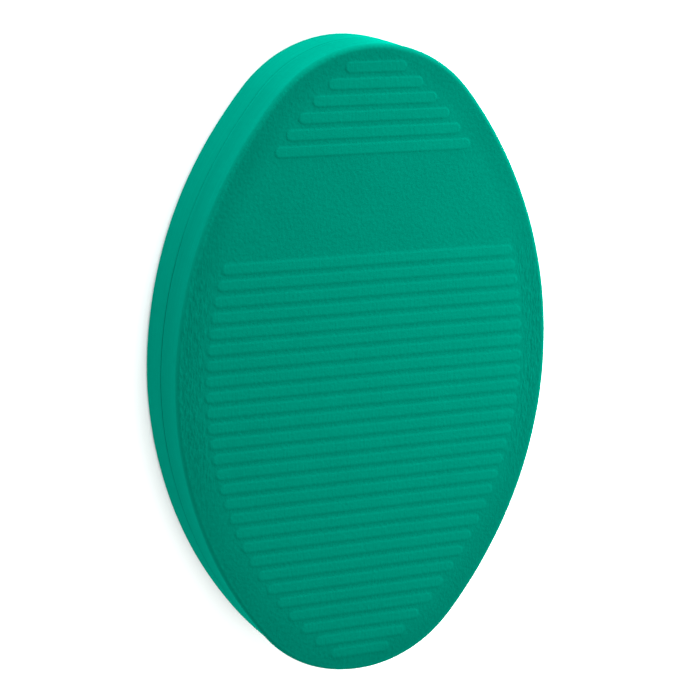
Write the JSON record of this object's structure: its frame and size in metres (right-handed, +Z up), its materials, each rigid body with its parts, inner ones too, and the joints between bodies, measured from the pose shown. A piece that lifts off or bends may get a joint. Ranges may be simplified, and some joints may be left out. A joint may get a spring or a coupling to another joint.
{
  "type": "balance pad",
  "caption": "Oval foam balance pad with low cross ribs on both faces, to stand, kneel or step on while training balance.",
  "frame": {"origin": "centre of the footprint, on the floor that the pad lies on", "axes": "+Z up through the thickness, +Y along the pad towards the tip beside the plain band, +X across the pad"},
  "size_m": [0.2548, 0.408, 0.058],
  "materials": {
    "ribbed_skin": "matt moulded closed-cell foam skin in teal green, with a fine leather-like grain",
    "foam_core": "matt cut closed-cell foam, teal green",
    "adhesive": "translucent cured contact adhesive",
    "seam": "matt, a little darker than the skin"
  },
  "bodies": {
    "root": {"upper_skin": "ribbed_skin", "upper_core": "foam_core", "bond_film": "adhesive", "seam_bead": "seam", "lower_core": "foam_core", "lower_skin": "ribbed_skin"}
  },
  "joints": []
}
